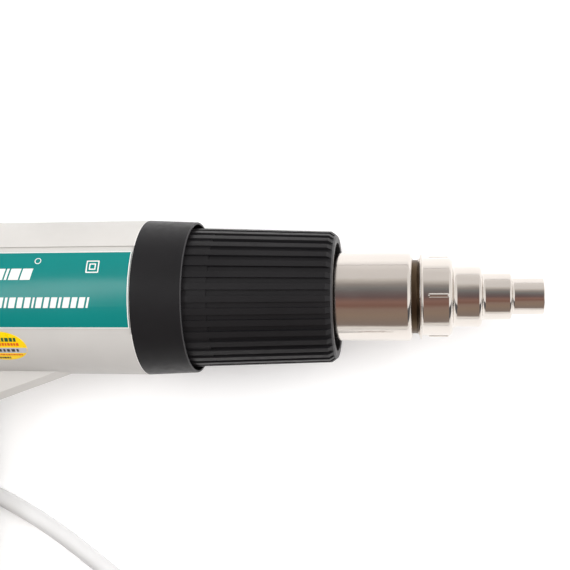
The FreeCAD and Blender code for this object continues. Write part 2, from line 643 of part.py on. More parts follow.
def bent_path(points):
    """Straight runs joined by tangent arcs, each as large as its two runs allow."""
    edges = []
    radii = []
    last = points[0]
    for before, here, after in zip(points, points[1:], points[2:]):
        back = before - here
        ahead = after - here
        reach = 0.45 * min(back.Length, ahead.Length)
        half_turn = (math.pi - back.getAngle(ahead)) / 2
        radius = reach / math.tan(half_turn)
        back.normalize()
        ahead.normalize()
        middle = here + (back + ahead).normalize() * (radius / math.cos(half_turn) - radius)
        edges.append(Part.LineSegment(last, here + back * reach).toShape())
        edges.append(Part.Arc(here + back * reach, middle, here + ahead * reach).toShape())
        last = here + ahead * reach
        radii.append(radius)
    edges.append(Part.LineSegment(last, points[-1]).toShape())
    return Part.Wire(edges), radii


def build_wiring():
    """Insulated leads inside the grip and the body."""
    for label, (radius, routes) in WIRE_ROUTES.items():
        wires = [swept([Vector(*place) for place in route], radius) for route in routes]
        solid(label, Part.makeCompound(wires))


def build_clamp():
    """Bar and two screws that hold the cord inside the grip's end."""
    x, y, radius = value("cord_x"), -133.5, value("cord_radius")
    bar = block(x - 9.5, x + 9.5, y - 2, y + 2, radius, radius + 2.6)
    sides = (x - 7, x + 7)
    solid("cord_clamp", bar.cut([post(side, y, radius - 1, radius + 3, 1.3) for side in sides]))
    screws = [post(side, y, -4, radius + 2.6, 1.3).fuse(post(side, y, radius + 2.6, radius + 4.2, 2.4))
              for side in sides]
    solid("clamp_screws", Part.makeCompound(screws))


def build_screws():
    seat = -value("screw_seat")
    top = seat - value("screw_head_height")
    screws = []
    for x, y in POSTS:
        shank = post(x, y, seat, -seat - 1, value("screw_radius"))
        head = post(x, y, top, seat, value("screw_head_radius"))
        cross = block(x - 1.6, x + 1.6, y - 0.35, y + 0.35, top - 1, top + 0.9)
        cross = cross.fuse(block(x - 0.35, x + 0.35, y - 1.6, y + 1.6, top - 1, top + 0.9))
        screws.append(shank.fuse(head).cut(cross))
    solid("housing_screws", Part.makeCompound(screws))


# ---------------------------------------------------------------- labels
def build_labels():
    radius = value("body_radius")
    front = value("label_front")
    back = front - value("label_length")
    inner = radius - value("panel_depth")
    outer = inner + value("label_thickness")
    for name, side in (("right_label", 1), ("left_label", -1)):
        label = side_window(back, front, value("label_half_angle"), inner, outer, side, value("label_corner"))
        solid(name, label)
    edge = Part.Ellipse(ORIGIN, value("sticker_length / 2"), value("sticker_width / 2")).toShape()
    oval = Part.Face(Part.Wire([edge])).extrude(Z_AXIS * 40)
    oval.translate(Vector(value("sticker_x"), 0, 0))
    oval.rotate(ORIGIN, X_AXIS, value("sticker_turn"))
    skin = pipe(back, front, radius, radius + value("sticker_thickness"))
    solid("approval_sticker", skin.common(oval))


# ---------------------------------------------------------------- cord
def build_gland():
    """Tapered strain relief: a collar inside the grip's end, a neck and a ringed tail."""
    x, end, bore = value("cord_x"), -value("grip_end"), value("cord_radius")
    root, tip = value("gland_root_radius"), value("gland_tip_radius")
    tail, flange = value("gland_length"), value("gland_flange")
    neck = root - 0.6
    places = [(9, bore), (9, root + flange), (6.1, root + flange), (6.1, root - 0.05), (-0.05, root - 0.05),
              (-0.05, root + 1.2), (-flange, root + 1.2), (-flange, neck), (-tail, tip), (-tail, bore)]
    face = Part.Face(Part.makePolygon([Vector(x + r, end + y, 0) for y, r in places + places[:1]]))
    shape = face.revolve(Vector(x, 0, 0), Y_AXIS, 360)
    for i in range(int(value("gland_rings"))):
        down = 7.5 + value("gland_ring_pitch") * i
        root_of_ring = neck + (tip - neck) * down / tail - value("gland_ring_depth")
        place = Vector(x, end - down, 0)
        ring = Part.makeCylinder(20, value("gland_ring_width"), place, Y_AXIS)
        shape = shape.cut(ring.cut(Part.makeCylinder(root_of_ring, value("gland_ring_width"), place, Y_AXIS)))
    solid("cord_gland", shape)


def lying_down():
    """Where the tool lies: rolled about the barrel until the end of the grip touches the floor."""
    reach = value("grip_end - grip_end_radius")
    half = value("grip_end_thickness") / 2
    radius = value("body_radius")
    roll = math.asin((radius - 0.04) / math.hypot(reach, half)) - math.atan2(half, reach)
    turn = Rotation(X_AXIS, math.degrees(roll))
    return Placement(Vector(0, 0, radius), turn)


# Points of the free cord beside the lying tool: X from the collar's back face, Y from the
# barrel's axis, Z from the floor.
CORD_ROUTE = ((-101, -236, 5.4), (-113, -277, 3.8), (-151, -296, 3.8), (-190, -272, 3.8),
              (-203, -224, 3.8), (-200, -172, 3.8), (-187, -122, 3.8), (-156, -86, 3.8),
              (-112, -80.5, 3.8), (-66, -99.5, 3.8), (-24, -129.5, 3.8), (5.6, -156, 3.8))
COIL_CENTRE = Vector(-28.8, -194.5, 0)
TAIL_ROUTE = ((-24.3, -143.1, 11.4), (8, -146.5, 11.8), (38, -152, 13))

# Routes of the leads inside the tool, in its own frame, with each set's wire radius.
WIRE_ROUTES = {
    "motor_leads": (0.8, (
        ((-109.5, -9.8, 2.2), (-108.5, -24, 6.5), (-105, -40, 8.5), (-103.5, -56, 7), (-102.5, -63, 3.8)),
        ((-109.5, 8.4, 3.6), (-109.7, -2, 6), (-108.6, -20, 9), (-102.5, -38, 10), (-100.5, -56, 9),
         (-101.5, -71, 3.8)))),
    "heater_leads": (0.9, (
        ((-3, -12.5, 4), (-19.5, -12.5, 4), (-21, -24, 4.5), (-36, -27, 4.5), (-47, -32.1, 4.5),
         (-62, -35.5, 4.5), (-79, -41.5, 6), (-90, -59, 8.6), (-99, -70, 9), (-103.5, -76, 6),
         (-102.2, -79.8, 3.5)),
        ((-3, -12.5, -4), (-19.5, -12.5, -4), (-21, -24, -4.5), (-36, -27, -4.5), (-47, -32.1, -4.5),
         (-62, -35.5, -4.5), (-79, -41.5, -6), (-89, -59, -8.3), (-91.5, -80, -8.3), (-90, -94, -7.6)))),
    "mains_leads": (1.0, (
        ((-99.7, -128.1, 0), (-98.9, -125.4, 4.2), (-95.4, -123.4, 5.2), (-95.2, -123, 1.2)),
        ((-102.3, -128.1, 0), (-101.8, -125.6, 4.2), (-99, -119, 6.5), (-91, -119.2, 6.5),
         (-89.8, -122.6, 4.8), (-89.8, -123, 1.2)))),
}


def build_cord(lie):
    """The mains cord: a free stretch, a coil, a tail and the plug, all lying on the floor."""
    radius = value("cord_radius")
    start = lie.multVec(Vector(value("cord_x"), value("cord_start"), 0))
    leaving = lie.multVec(Vector(value("cord_x"), value("cord_start") - 58, 0))
    route = [start, leaving] + [Vector(*place) for place in CORD_ROUTE]
    solid("cord_tube", swept(route, radius))
    middle, half = value("coil_ring_radius"), value("coil_ring_width") / 2
    top = value("coil_ring_height")
    places = ((middle - half, 0), (middle + half, 0), (middle + half, top), (middle - half, top))
    ring = rounded_outline([(COIL_CENTRE + Vector(across, 0, up), 3.2) for across, up in places])
    solid("cord_coil", Part.Face(ring).revolve(COIL_CENTRE, Z_AXIS, 360))
    tail = [Vector(*place) for place in TAIL_ROUTE]
    solid("cord_tail", swept(tail, radius))
    build_plug(tail[-1], tail[-1] - tail[-2])


def build_plug(place, heading):
    """Two-pin plug: a tapered neck, an oval body and two round pins. It is drawn along +X."""
    radius, length, height = value("plug_radius"), value("plug_length"), value("plug_half_height")
    upright = Rotation(Y_AXIS, Z_AXIS, X_AXIS, "XYZ")
    stations = ((0, 5.6, 5.5), (7, 6.4, 6.3), (13, 8.4, 8.0), (18, 13.5, 11),
                (24, radius - 0.8, height - 0.5), (30, radius, height), (length, radius - 0.4, height - 0.4))
    rings = []
    for x, wide, tall in stations:
        ring = Part.Wire([Part.Ellipse(ORIGIN, wide, tall).toShape()])
        ring.Placement = Placement(Vector(x, 0, 0), upright)
        rings.append(ring)
    body = Part.makeLoft(rings, True, False)
    pins = []
    pin_end = length + value("pin_length")
    for y in (value("pin_spacing / 2"), value("-pin_spacing / 2")):
        pin = rod(length, pin_end, value("pin_radius"), y=y)
        tip = [edge for edge in pin.Edges if abs(edge.CenterOfMass.x - pin_end) < 0.01]
        pins.append(pin.makeFillet(value("pin_radius") / 2, tip))
    level = Vector(heading.x, heading.y, 0)
    spot = Placement(Vector(place.x, place.y, value("plug_half_height")), Rotation(X_AXIS, level))
    for label, shape in (("plug_body", body), ("plug_pins", Part.makeCompound(pins))):
        piece = solid(label, shape)
        piece.Placement = spot.multiply(piece.Placement)


def place_everything():
    """Lay the tool down, add its cord and move the part's origin under the middle of the tool."""
    tool = list(pieces)
    lie = lying_down()
    for piece in tool:
        piece.Placement = lie.multiply(piece.Placement)
    doc.recompute()
    box = FreeCAD.BoundBox()
    for piece in tool:
        if piece.Label != "cord_gland":
            box.add(piece.Shape.optimalBoundingBox(False, False))
    print("tool box", box)
    build_cord(lie)
    shift = Placement(Vector(-box.Center.x, -box.Center.y, 0), Rotation())
    for piece in pieces:
        piece.Placement = shift.multiply(piece.Placement)
    print("shift", shift.Base)


def main():
    build_housing()
    build_rear_cap()
    build_front()
    build_nozzle()
    build_motor()
    build_fan()
    build_duct()
    build_heater()
    build_switch()
    build_dial()
    build_board()
    build_clamp()
    build_screws()
    build_labels()
    build_gland()
    build_wiring()
    place_everything()
    finish()


def finish():
    doc.recompute()
    for piece in doc.Objects:
        if {"Invalid", "Error"} & set(piece.State):
            raise SystemExit(f"{piece.Label} failed: {piece.State}")
    os.makedirs("parts", exist_ok=True)
    for piece in pieces:
        shape = piece.Shape
        if shape.isNull() or not shape.isValid():
            raise SystemExit(f"{piece.Label} has no valid shape")
        print(f"{piece.Label:18s} solids {len(shape.Solids)} volume {shape.Volume:10.1f}")
        shape.exportStep(f"parts/{piece.Label}.step")


main()
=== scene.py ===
"""Pistol heat gun lying on its side on a pale table, with its mains cord.

All lengths are metres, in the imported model's frame: +X towards the outlet, +Y away from the grip,
+Z up. Sizes written as millimetres are multiplied by MM."""
import json
import math

import bmesh
import bpy
from mathutils import Matrix, Vector


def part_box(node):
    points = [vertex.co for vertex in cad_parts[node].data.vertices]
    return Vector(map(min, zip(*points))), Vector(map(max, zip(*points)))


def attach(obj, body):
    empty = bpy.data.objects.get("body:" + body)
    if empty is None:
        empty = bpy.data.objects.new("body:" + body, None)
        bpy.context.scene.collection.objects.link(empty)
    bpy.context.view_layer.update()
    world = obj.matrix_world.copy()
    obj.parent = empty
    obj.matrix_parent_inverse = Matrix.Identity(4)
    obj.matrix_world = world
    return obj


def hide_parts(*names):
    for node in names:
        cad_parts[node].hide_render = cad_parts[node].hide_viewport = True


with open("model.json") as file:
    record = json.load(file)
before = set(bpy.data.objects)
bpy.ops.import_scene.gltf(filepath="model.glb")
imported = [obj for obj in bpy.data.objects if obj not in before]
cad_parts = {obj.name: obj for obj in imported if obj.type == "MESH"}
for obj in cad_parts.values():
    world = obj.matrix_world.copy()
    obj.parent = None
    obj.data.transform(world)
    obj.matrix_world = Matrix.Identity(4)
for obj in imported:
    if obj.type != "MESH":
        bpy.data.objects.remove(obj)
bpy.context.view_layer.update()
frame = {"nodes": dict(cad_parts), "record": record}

MM = 0.001
NODES = frame["nodes"]
TUBE_LOW, TUBE_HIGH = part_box("barrel_tube")
COLLAR_LOW, COLLAR_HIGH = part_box("front_collar")
AXIS_Y = (TUBE_LOW.y + TUBE_HIGH.y) / 2
AXIS_Z = (TUBE_LOW.z + TUBE_HIGH.z) / 2
BACK_X = COLLAR_LOW.x                      # back face of the collar, where the tool's X starts
BODY_RADIUS = (COLLAR_HIGH.z - COLLAR_LOW.z) / 2


def beside(x, y, z):
    """A point given in mm beside the tool: X from the collar, Y from the barrel, Z from the floor."""
    return Vector((BACK_X + x * MM, AXIS_Y + y * MM, z * MM))


def placed(name, data):
    """A new object with this data, in the scene."""
    made = bpy.data.objects.new(name, data)
    bpy.context.scene.collection.objects.link(made)
    return made


# ---------------------------------------------------------------- camera
CAMERA_HEIGHT = 400 * MM       # above the barrel's axis
CAMERA_FORWARD = 118.3 * MM    # in front of the collar's back face
CAMERA_SIDE = 5 * MM           # on the side away from the grip
CAMERA_TILT = math.radians(8.74)
CAMERA_ROLL = math.radians(0.3)
LENS = 61.6                    # mm, on a sensor 36 mm wide
SENSOR_WIDTH = 36


def make_camera():
    camera = placed("camera", bpy.data.cameras.new("camera"))
    camera.data.lens = LENS
    camera.data.sensor_width = SENSOR_WIDTH
    camera.data.clip_start = 0.01
    place = Vector((BACK_X + CAMERA_FORWARD, AXIS_Y + CAMERA_SIDE, AXIS_Z + CAMERA_HEIGHT))
    look = Matrix.Rotation(CAMERA_TILT, 4, "Y") @ Matrix.Rotation(-CAMERA_ROLL, 4, "Z")
    camera.matrix_world = Matrix.Translation(place) @ look
    bpy.context.scene.camera = camera


# ---------------------------------------------------------------- cord
CORD_DIAMETER = 7.5 * MM
CORD_START = (-101, -128.4, 19.7)        # inside the end of the grip
CORD_LEAVING = (-101, -186.1, 13.9)      # past the tip of the strain relief
CORD_ROUTE = ((-101, -236, 5.4), (-113, -277, 3.8), (-151, -296, 3.8), (-190, -272, 3.8),
              (-203, -224, 3.8), (-200, -172, 3.8), (-187, -122, 3.8), (-156, -86, 3.8),
              (-112, -80.5, 3.8), (-66, -99.5, 3.8), (-24, -129.5, 3.8))
COIL_CENTRE = (-28.8, -194.5)
COIL_ENTRY = 48.2                        # degrees, where the cord meets the coil
COIL_TURN = 1403.0                       # degrees, wound clockwise
COIL_OUTER, COIL_INNER = 51.6, 36.4
COIL_LOW, COIL_HIGH = 3.8, 11.4
COIL_RISE = 200                          # degrees of winding from the lower layer to the upper
POINTS_PER_TURN = 16
POINT_RADIUS = 0.001                     # a curve's bounding box grows by this much
TAIL_ROUTE = ((8, -146.5, 11.8), (38, -152, 13))


def smooth(t):
    """0 to 1 with a gentle start and end."""
    t = max(0.0, min(1.0, t))
    return t * t * (3 - 2 * t)


def coil_points():
    """Two layers: the lower one winds inwards and the upper one winds outwards."""
    count = round(COIL_TURN / 360 * POINTS_PER_TURN)
    half = COIL_TURN / 2
    points = []
    for i in range(count + 1):
        turned = COIL_TURN * i / count
        out = abs(turned - half) / half
        radius = COIL_INNER + (COIL_OUTER - COIL_INNER) * out
        level = COIL_LOW + (COIL_HIGH - COIL_LOW) * smooth((turned - half + COIL_RISE / 2) / COIL_RISE)
        angle = math.radians(COIL_ENTRY - turned)
        x = COIL_CENTRE[0] + radius * math.cos(angle)
        y = COIL_CENTRE[1] + radius * math.sin(angle)
        points.append((x, y, level))
    return points


def make_cord():
    curve = bpy.data.curves.new("mains_cord", "CURVE")
    curve.dimensions = "3D"
    curve.bevel_depth = CORD_DIAMETER / 2 / POINT_RADIUS
    curve.bevel_resolution = 6
    curve.resolution_u = 10
    curve.use_fill_caps = True
    # the first two points run along the strain relief, out of the end of the grip
    route = (CORD_START, CORD_LEAVING, *CORD_ROUTE, *coil_points(), *TAIL_ROUTE)
    spline = curve.splines.new("NURBS")
    spline.points.add(len(route) - 1)
    for knot, point in zip(spline.points, route):
        knot.co = (*beside(*point), 1)
        knot.radius = POINT_RADIUS
    spline.order_u = 3
    spline.use_endpoint_u = True
    cord = placed("mains_cord", curve)
    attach(cord, "frame")
    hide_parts("cord_tube", "cord_coil", "cord_tail")
    return cord


# ---------------------------------------------------------------- materials
def srgb(*levels):
    """A colour given in 0-255 display levels, as linear light."""
    shares = [level / 255 for level in levels]
    return tuple(c / 12.92 if c <= 0.04045 else ((c + 0.055) / 1.055) ** 2.4 for c in shares)


def scaled(color, factor):
    """The colour made lighter or darker by a factor."""
    return tuple(c * factor for c in color)


BLACK = (0.0125, 0.012, 0.013)
# paler grey painted on the collar's and the guard's front rims as their highlight
RIM_HIGHLIGHT_GREY = (0.045, 0.044, 0.046)
STEEL = (0.70, 0.655, 0.61)
# dark brown of the reducer's sleeve where it comes out of the tube
SLEEVE_DARK_BROWN = (0.11, 0.075, 0.045)
# pale colour painted on the shells' front rim as its highlight
RIM_HIGHLIGHT_PALE = (0.80, 0.78, 0.76)
LABEL_TEAL = srgb(10, 122, 118)
# bands across the barrel, in mm from the collar's back face
SHELL_HIGHLIGHT_BAND = (-0.3, 0.1)                   # front rim of the shells, painted pale there as a highlight
# the collar's and the guard's front rims, where a paler grey is painted as their highlight
COLLAR_RIM_HIGHLIGHT = (20.05, 20.6)
GUARD_RIM_HIGHLIGHT = (78.3, 79.0)
SLEEVE_BAND, SLEEVE_RADIUS = (90, 111.9), 15.3
NOISE_LOW, NOISE_HIGH = 0.3, 0.7         # where a noise texture's values mostly stay


class Graph:
    """A node tree with small helpers."""

    def __init__(self, tree):
        self.tree = tree

    def node(self, kind, **settings):
        made = self.tree.nodes.new(kind)
        for key, amount in settings.items():
            setattr(made, key, amount)
        return made

    def link(self, start, end):
        self.tree.links.new(start, end)

    def calculate(self, operation, first, second):
        """A sum on two values, each a float or the output of a node."""
        made = self.node("ShaderNodeMath", operation=operation)
        for socket, value in zip(made.inputs, (first, second)):
            if isinstance(value, float):
                socket.default_value = value
            else:
                self.link(value, socket)
        return made.outputs[0]

    def map_range(self, value, low, high, new_low, new_high, **settings):
        """A value from low-high, stretched to new_low-new_high."""
        span = self.node("ShaderNodeMapRange", **settings)
        span.inputs["From Min"].default_value = low
        span.inputs["From Max"].default_value = high
        span.inputs["To Min"].default_value = new_low
        span.inputs["To Max"].default_value = new_high
        self.link(value, span.inputs["Value"])
        return span.outputs["Result"]


class Finish(Graph):
    """A Principled material. Its coordinates are object metres."""

    def __init__(self, name, color, roughness, metallic=0.0, **inputs):
        self.material = bpy.data.materials.new(name)
        self.material.use_nodes = True
        super().__init__(self.material.node_tree)
        self.shader = self.tree.nodes["Principled BSDF"]
        self.shader.inputs["Base Color"].default_value = (*color, 1)
        self.shader.inputs["Roughness"].default_value = roughness
        self.shader.inputs["Metallic"].default_value = metallic
        for key, amount in inputs.items():
            self.shader.inputs[key.replace("_", " ")].default_value = amount
        self.place = self.tree.nodes.new("ShaderNodeTexCoord").outputs["Object"]

    def noise(self, size, detail=2.0, stretch=(1, 1, 1)):
        """Noise whose grains are about size metres, stretched along an axis where asked."""
        mapping = self.node("ShaderNodeMapping")
        mapping.inputs["Scale"].default_value = stretch
        self.link(self.place, mapping.inputs["Vector"])
        noise = self.node("ShaderNodeTexNoise")
        noise.inputs["Scale"].default_value = 1 / size
        noise.inputs["Detail"].default_value = detail
        self.link(mapping.outputs["Vector"], noise.inputs["Vector"])
        return noise.outputs["Fac"]

    def spread(self, fac, low, high):
        """Noise stretched to low-high."""
        return self.map_range(fac, NOISE_LOW, NOISE_HIGH, low, high)

    def tint(self, fac, first, second):
        """The colour wanders between two tones."""
        mix = self.node("ShaderNodeMix", data_type="RGBA")
        mix.inputs["A"].default_value = (*first, 1)
        mix.inputs["B"].default_value = (*second, 1)
        self.link(self.spread(fac, 0, 1), mix.inputs["Factor"])
        self.link(mix.outputs["Result"], self.shader.inputs["Base Color"])

    def bump(self, height, distance):
        """Relief, on top of any that the material already has."""
        bump = self.node("ShaderNodeBump")
        bump.inputs["Distance"].default_value = distance
        bump.inputs["Strength"].default_value = 1.0
        self.link(height, bump.inputs["Height"])
        before = self.shader.inputs["Normal"].links
        if before:
            self.link(before[0].from_socket, bump.inputs["Normal"])
        self.link(bump.outputs["Normal"], self.shader.inputs["Normal"])

    def rough(self, fac, low, high):
        self.link(self.spread(fac, low, high), self.shader.inputs["Roughness"])

    def band(self, x0, x1, color, roughness=None, radius=None):
        """Another finish between two planes across the barrel, in mm, and within a radius if given."""
        along = self.node("ShaderNodeSeparateXYZ")
        self.link(self.place, along.inputs[0])
        past = self.calculate("GREATER_THAN", along.outputs["X"], BACK_X + x0 * MM)
        before = self.calculate("LESS_THAN", along.outputs["X"], BACK_X + x1 * MM)
        inside = self.calculate("MULTIPLY", past, before)
        if radius:
            across = self.node("ShaderNodeMapping")
            across.inputs["Location"].default_value = (0, -AXIS_Y, -AXIS_Z)
            across.inputs["Scale"].default_value = (0, 1, 1)
            self.link(self.place, across.inputs["Vector"])
            length = self.node("ShaderNodeVectorMath", operation="LENGTH")
            self.link(across.outputs["Vector"], length.inputs[0])
            near = self.calculate("LESS_THAN", length.outputs["Value"], radius * MM)
            inside = self.calculate("MULTIPLY", inside, near)
        self.change("Base Color", "RGBA", inside, (*color, 1))
        if roughness is not None:
            self.change("Roughness", "FLOAT", inside, roughness)

    def change(self, name, kind, fac, value):
        """Mix an input of the shader towards a value by a factor."""
        socket = self.shader.inputs[name]
        mix = self.node("ShaderNodeMix", data_type=kind)
        # a mix node has sockets for every kind of data, and only those of its own kind are enabled
        base, other = (end for end in mix.inputs if end.name in "AB" and end.enabled)
        result = next(end for end in mix.outputs if end.enabled)
        if socket.links:
            self.link(socket.links[0].from_socket, base)
        else:
            base.default_value = socket.default_value
        other.default_value = value
        self.link(fac, mix.inputs["Factor"])
        self.link(result, socket)


def moulded(name, color, roughness, grain=0.45, depth=0.02, spread=0.06, gloss=0.5):
    """Moulded plastic with a spark-eroded grain and faint flow clouds."""
    finish = Finish(name, color, roughness, Specular_IOR_Level=gloss)
    clouds = finish.noise(26 * MM, 3)
    finish.tint(clouds, scaled(color, 1 - spread / 2), scaled(color, 1 + spread / 2))
    finish.bump(finish.noise(grain * MM, 3), depth * MM)
    finish.rough(finish.noise(3 * MM, 4), roughness - 0.05, roughness + 0.05)
    return finish


def metal(name, color, roughness, turned=0.0):
    """Metal with fine marks drawn round the barrel's axis and a few smudges."""
    finish = Finish(name, color, roughness, 1.0)
    finish.rough(finish.noise(7 * MM, 4), roughness * 0.75, roughness * 1.35)
    if turned:
        finish.bump(finish.noise(0.25 * MM, 2, (1, 0.02, 0.02)), turned * MM)
    return finish


def black_plastic(name, *highlight_bands):
    """Glass-filled black plastic, with a paler grey band painted as an edge highlight between each pair of
    planes.
    """
    finish = moulded(name, BLACK, 0.42, grain=0.5, depth=0.012, spread=0.2, gloss=0.16)
    # each band is a painted highlight on a rim
    for x0, x1 in highlight_bands:
        finish.band(x0, x1, RIM_HIGHLIGHT_GREY)
    return finish


def housing_grey():
    """Warm light grey plastic, with a pale band painted as a highlight on the shells' front rim, beside the
    collar.
    """
    finish = moulded("housing_grey", (0.56, 0.545, 0.522), 0.46)
    # a pale band painted as the rim's highlight
    finish.band(*SHELL_HIGHLIGHT_BAND, RIM_HIGHLIGHT_PALE)
    return finish


def bright_steel():
    """Polished steel, dark brown and rougher on the reducer's sleeve where it comes out of the tube."""
    finish = metal("bright_steel", STEEL, 0.11, turned=0.004)
    finish.tint(finish.noise(9 * MM, 4, (0.3, 1, 1)), scaled(STEEL, 0.95), STEEL)
    # the sleeve, within this radius, is dark brown and rougher
    finish.band(*SLEEVE_BAND, SLEEVE_DARK_BROWN, roughness=0.42, radius=SLEEVE_RADIUS)
    finish.bump(finish.noise(5 * MM, 3, (0.5, 1, 1)), 0.05 * MM)
    return finish


def label_film():
    """Printed film: even teal under a satin coat."""
    finish = Finish("label_teal", LABEL_TEAL, 0.24, Specular_IOR_Level=0.4)
    finish.tint(finish.noise(20 * MM, 2), scaled(LABEL_TEAL, 0.97), scaled(LABEL_TEAL, 1.03))
    finish.bump(finish.noise(1.4 * MM, 2), 0.004 * MM)
    return finish


def make_materials():
    """One finish for each material slot of the record, and a few for single nodes."""
    return {
        "housing_grey": housing_grey(),
        "black_plastic": black_plastic("black_plastic"),
        # the collar's and the guard's front rims get a paler grey band painted as their highlight
        "collar_black": black_plastic("collar_black", COLLAR_RIM_HIGHLIGHT),
        "guard_black": black_plastic("guard_black", GUARD_RIM_HIGHLIGHT),
        "bright_steel": bright_steel(),
        "steel": metal("steel", (0.56, 0.56, 0.57), 0.32, turned=0.01),
        "ferrite": moulded("ferrite", (0.035, 0.035, 0.038), 0.6, grain=0.8, depth=0.03, spread=0.3),
        "bronze": metal("bronze", (0.55, 0.36, 0.17), 0.38),
        "duct_plastic": moulded("duct_plastic", (0.03, 0.03, 0.032), 0.5),
        "mica": moulded("mica", (0.42, 0.36, 0.26), 0.45, grain=1.2, depth=0.03, spread=0.5),
        "ceramic": moulded("ceramic", (0.78, 0.75, 0.68), 0.3, grain=0.6, depth=0.01),
        "board_green": moulded("board_green", (0.01, 0.10, 0.035), 0.25, grain=1.5, depth=0.02, spread=0.3),
        "aluminium": metal("aluminium", (0.72, 0.73, 0.74), 0.3, turned=0.01),
        "board_part": moulded("board_part", (0.02, 0.06, 0.22), 0.3, grain=0.8, depth=0.01, spread=0.2),
        "label_teal": label_film(),
        "sticker_yellow": moulded("sticker_yellow", srgb(254, 212, 4), 0.3, grain=1.0, depth=0.003,
                                  spread=0.05),
        "cord_grey": moulded("cord_grey", srgb(208, 208, 208), 0.5, grain=0.35, depth=0.008, spread=0.04),
        "lead_insulation": moulded("lead_insulation", (0.32, 0.025, 0.02), 0.45),
    }


SPECIAL_FINISHES = {"front_collar": "collar_black", "heat_shroud": "guard_black"}


def dress_nodes(finishes):
    """Give each node the finish of its material slot in the record, or its own."""
    slots = {item["node"]: item["material_slot"] for item in frame["record"]["subparts"]}
    for name, node in NODES.items():
        finish = finishes[SPECIAL_FINISHES.get(name, slots[name])]
        node.data.materials.clear()
        node.data.materials.append(finish.material)


# ---------------------------------------------------------------- prints on the labels and the sticker
LABEL_LOW, LABEL_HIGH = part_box("right_label")
LABEL_TURN = math.radians(7.06)          # where the right label's middle faces, from up towards +Y
LEFT_LABEL_TURN = math.radians(161.56)   # the left label faces the table
LABEL_RADIUS = BODY_RADIUS - 0.2 * MM
LABEL_HALF_WIDTH = math.radians(28.25) * BODY_RADIUS / MM
STICKER_TURN = math.radians(-37.3)
STICKER_RADIUS = BODY_RADIUS + 0.15 * MM
STICKER_X = -55.3
STICKER_HALF_LENGTH, STICKER_HALF_WIDTH = 10.3, 7.4
PRINT_LIFT = 0.02 * MM
PRINT_DEPTH = 0.04                       # mm of ink
SLICE = 1.2                              # mm between the cuts that let a flat shape bend
BAND_STEP = 0.05 * MM                    # the sticker's lettering lies above its band
SLANT = 0.22                             # how far the label's bars lean
CORNER_STEPS = 5
OVAL_STEPS = 12
OVAL_INSET = 0.985                       # the band ends a little inside the sticker's edge


def wrap(mesh, radius, turn, side):
    """Lay a flat (x, s) drawing in mm on the body: s runs round the barrel from a middle angle,
    and side is -1 where the drawing is seen from under the tool."""
    for vertex in mesh.verts:
        x, around, lift = vertex.co
        angle = turn + side * around * MM / radius
        reach = radius + lift * MM
        y = AXIS_Y + reach * math.sin(angle)
        vertex.co = Vector((BACK_X + x * MM, y, AXIS_Z + reach * math.cos(angle)))


def printed(name, shapes, radius, turn, finish, side=1):
    """Flat shapes as thin ink: each is a list of (x, s) corners, or a pair of lists for a ring."""
    mesh = bmesh.new()
    for shape in shapes:
        if isinstance(shape, tuple):
            outer, inner = ([mesh.verts.new((x, s, 0)) for x, s in corners] for corners in shape)
            for i in range(len(outer)):
                j = (i + 1) % len(outer)
                mesh.faces.new((outer[i], outer[j], inner[j], inner[i]))
        else:
            mesh.faces.new([mesh.verts.new((x, s, 0)) for x, s in shape])
    cuts = int(max(abs(v.co.y) for v in mesh.verts) / SLICE) + 1
    for i in range(-cuts, cuts + 1):
        geometry = mesh.verts[:] + mesh.edges[:] + mesh.faces[:]
        bmesh.ops.bisect_plane(mesh, geom=geometry, plane_co=(0, i * SLICE, 0), plane_no=(0, 1, 0))
    made = bmesh.ops.extrude_face_region(mesh, geom=mesh.faces[:])
    for item in made["geom"]:
        if isinstance(item, bmesh.types.BMVert):
            item.co.z += PRINT_DEPTH
    wrap(mesh, radius + PRINT_LIFT, turn, side)
    add_piece(name, mesh, finish)


def ordered(mesh):
    """Corners and faces in an order of their own, as cutting a mesh leaves them in any order."""
    corners = sorted(tuple(vertex.co) for vertex in mesh.verts)
    number = {corner: i for i, corner in enumerate(corners)}
    faces = []
    for face in mesh.faces:
        loop = [number[tuple(vertex.co)] for vertex in face.verts]
        first = loop.index(min(loop))
        faces.append(loop[first:] + loop[:first])
    return corners, sorted(faces)


def add_piece(name, mesh, finish):
    """Put a mesh into the scene as a piece that stays with the frame."""
    bmesh.ops.recalc_face_normals(mesh, faces=mesh.faces[:])
    corners, faces = ordered(mesh)
    mesh.free()
    data = bpy.data.meshes.new(name)
    data.from_pydata(corners, [], faces)
    data.materials.append(finish.material)
    piece = placed(name, data)
    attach(piece, "frame")


def rounded_box(x0, x1, s0, s1, corner):
    """Corners of a rounded rectangle, anticlockwise."""
    points = []
    for cx, cs, first in ((x1 - corner, s1 - corner, 0), (x0 + corner, s1 - corner, 90),
                          (x0 + corner, s0 + corner, 180), (x1 - corner, s0 + corner, 270)):
        for i in range(CORNER_STEPS + 1):
            angle = math.radians(first + 90 * i / CORNER_STEPS)
            points.append((cx + corner * math.cos(angle), cs + corner * math.sin(angle)))
    return points


def ring_shape(x0, x1, s0, s1, width, corner):
    """Outer and inner outline of a rounded frame."""
    inner_corner = max(0.05, corner - width)
    return (rounded_box(x0, x1, s0, s1, corner),
            rounded_box(x0 + width, x1 - width, s0 + width, s1 - width, inner_corner))


def slanted(x, s0, s1, width, slant):
    """A bar that leans by slant times its height."""
    lean = (s1 - s0) * slant
    return [(x, s0), (x + width, s0), (x + width + lean, s1), (x + lean, s1)]


def bar_row(x0, x1, s0, s1, widths, gap, slant=0.0):
    """Bars of uneven widths, in place of a line of text."""
    bars = []
    x, count = x0, 0
    while x + widths[count % len(widths)] <= x1:
        width = widths[count % len(widths)]
        bars.append(slanted(x, s0, s1, width, slant))
        x += width + gap
        count += 1
    return bars


